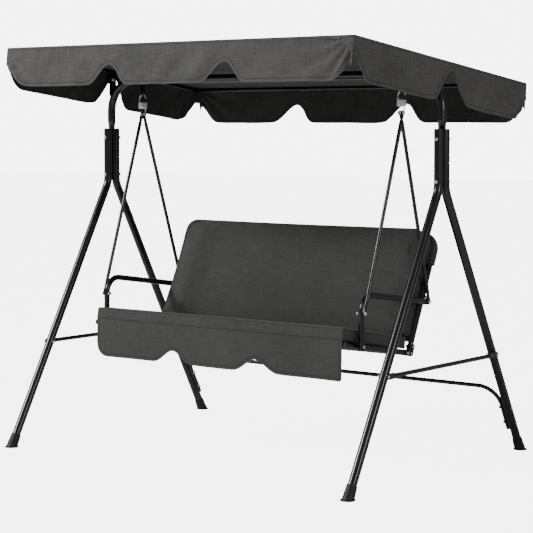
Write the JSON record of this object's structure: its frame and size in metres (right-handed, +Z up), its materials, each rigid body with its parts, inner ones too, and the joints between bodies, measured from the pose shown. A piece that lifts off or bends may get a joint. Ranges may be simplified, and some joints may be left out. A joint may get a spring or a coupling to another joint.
{
  "type": "canopy swing bench",
  "caption": "Free-standing garden swing bench: a cushioned seat hangs on springs and V-shaped rods from an A-frame stand, under a tilting fabric canopy.",
  "frame": {"origin": "on the floor, under the middle of the stand", "axes": "+Z up, +X to the right along the bench as seen from the front, -Y out of the front of the seat"},
  "size_m": [1.624, 1.198, 1.5289],
  "materials": {
    "powder_coat": "satin black powder coat",
    "black_plastic": "fine matt moulding",
    "zinc_steel": "bright zinc plate",
    "spring_steel": "bright zinc-plated wire",
    "canopy_fabric": "woven polyester, charcoal grey",
    "cushion_fabric": "woven polyester, charcoal grey",
    "sling_fabric": "dark woven mesh"
  },
  "bodies": {
    "stand": {"front_leg_left": "powder_coat", "front_leg_right": "powder_coat", "rear_leg_left": "powder_coat", "rear_leg_right": "powder_coat", "foot_cap_front_left": "black_plastic", "foot_cap_front_right": "black_plastic", "foot_cap_rear_left": "black_plastic", "foot_cap_rear_right": "black_plastic", "leg_end_plugs": "black_plastic", "top_beam": "powder_coat", "side_brace_left": "powder_coat", "side_brace_right": "powder_coat", "rear_cross_bar": "powder_coat", "cross_bar_end_plugs": "black_plastic", "leg_top_bolts": "zinc_steel", "lower_frame_bolts": "zinc_steel", "stand_nuts": "zinc_steel", "spring_lug_left": "powder_coat", "spring_lug_right": "powder_coat", "canopy_post_bracket_left": "powder_coat", "canopy_post_bracket_right": "powder_coat", "canopy_pivot_bolts": "zinc_steel"},
    "canopy": {"canopy_front_bar": "powder_coat", "canopy_rear_bar": "powder_coat", "canopy_side_bar_left": "powder_coat", "canopy_side_bar_right": "powder_coat", "canopy_corner_connectors": "black_plastic", "canopy_tilt_bracket_left": "powder_coat", "canopy_tilt_bracket_right": "powder_coat", "canopy_roof_panel": "canopy_fabric", "canopy_front_valance": "canopy_fabric", "canopy_rear_valance": "canopy_fabric", "canopy_side_valance_left": "canopy_fabric", "canopy_side_valance_right": "canopy_fabric"},
    "knob_left": {"canopy_knob_left": "black_plastic"},
    "knob_right": {"canopy_knob_right": "black_plastic"},
    "suspension": {"spring_left": "spring_steel", "spring_right": "spring_steel"},
    "seat": {"hanger_front_left": "powder_coat", "hanger_front_right": "powder_coat", "hanger_rear_left": "powder_coat", "hanger_rear_right": "powder_coat", "hanger_bolts": "zinc_steel", "seat_frame_bolts": "zinc_steel", "seat_nuts": "zinc_steel", "seat_side_rail_left": "powder_coat", "seat_side_rail_right": "powder_coat", "seat_front_rail": "powder_coat", "seat_rear_rail": "powder_coat", "seat_rail_plugs": "black_plastic", "back_frame": "powder_coat", "seat_corner_bracket_left": "powder_coat", "seat_corner_bracket_right": "powder_coat", "armrest_left": "powder_coat", "armrest_right": "powder_coat", "seat_sling": "sling_fabric", "back_sling": "sling_fabric", "seat_cushion": "cushion_fabric", "back_cushion": "cushion_fabric", "seat_valance": "cushion_fabric"}
  },
  "joints": [
    {"name": "swing", "type": "hinge", "parent": "stand", "child": "suspension", "pos_m": [0, 0, 1.35635], "axis": [1, 0, 0], "range_deg": [-22, 22]},
    {"name": "spring_bounce", "type": "slide", "parent": "suspension", "child": "seat", "axis": [0, 0, 1], "range_m": [-0.02, 0], "stiffness_N_per_m": 40000, "springref_m": 0.006, "deforming": ["spring_left", "spring_right"]},
    {"name": "canopy_tilt", "type": "hinge", "parent": "stand", "child": "canopy", "pos_m": [0, 0, 1.419], "axis": [1, 0, 0], "range_deg": [-12, 22]},
    {"name": "canopy_knob_left", "type": "hinge", "parent": "stand", "child": "knob_left", "pos_m": [-0.79, 0, 1.419], "axis": [1, 0, 0], "range_deg": [-540, 0]},
    {"name": "canopy_knob_right", "type": "hinge", "parent": "stand", "child": "knob_right", "pos_m": [0.79, 0, 1.419], "axis": [1, 0, 0], "range_deg": [0, 540]}
  ]
}
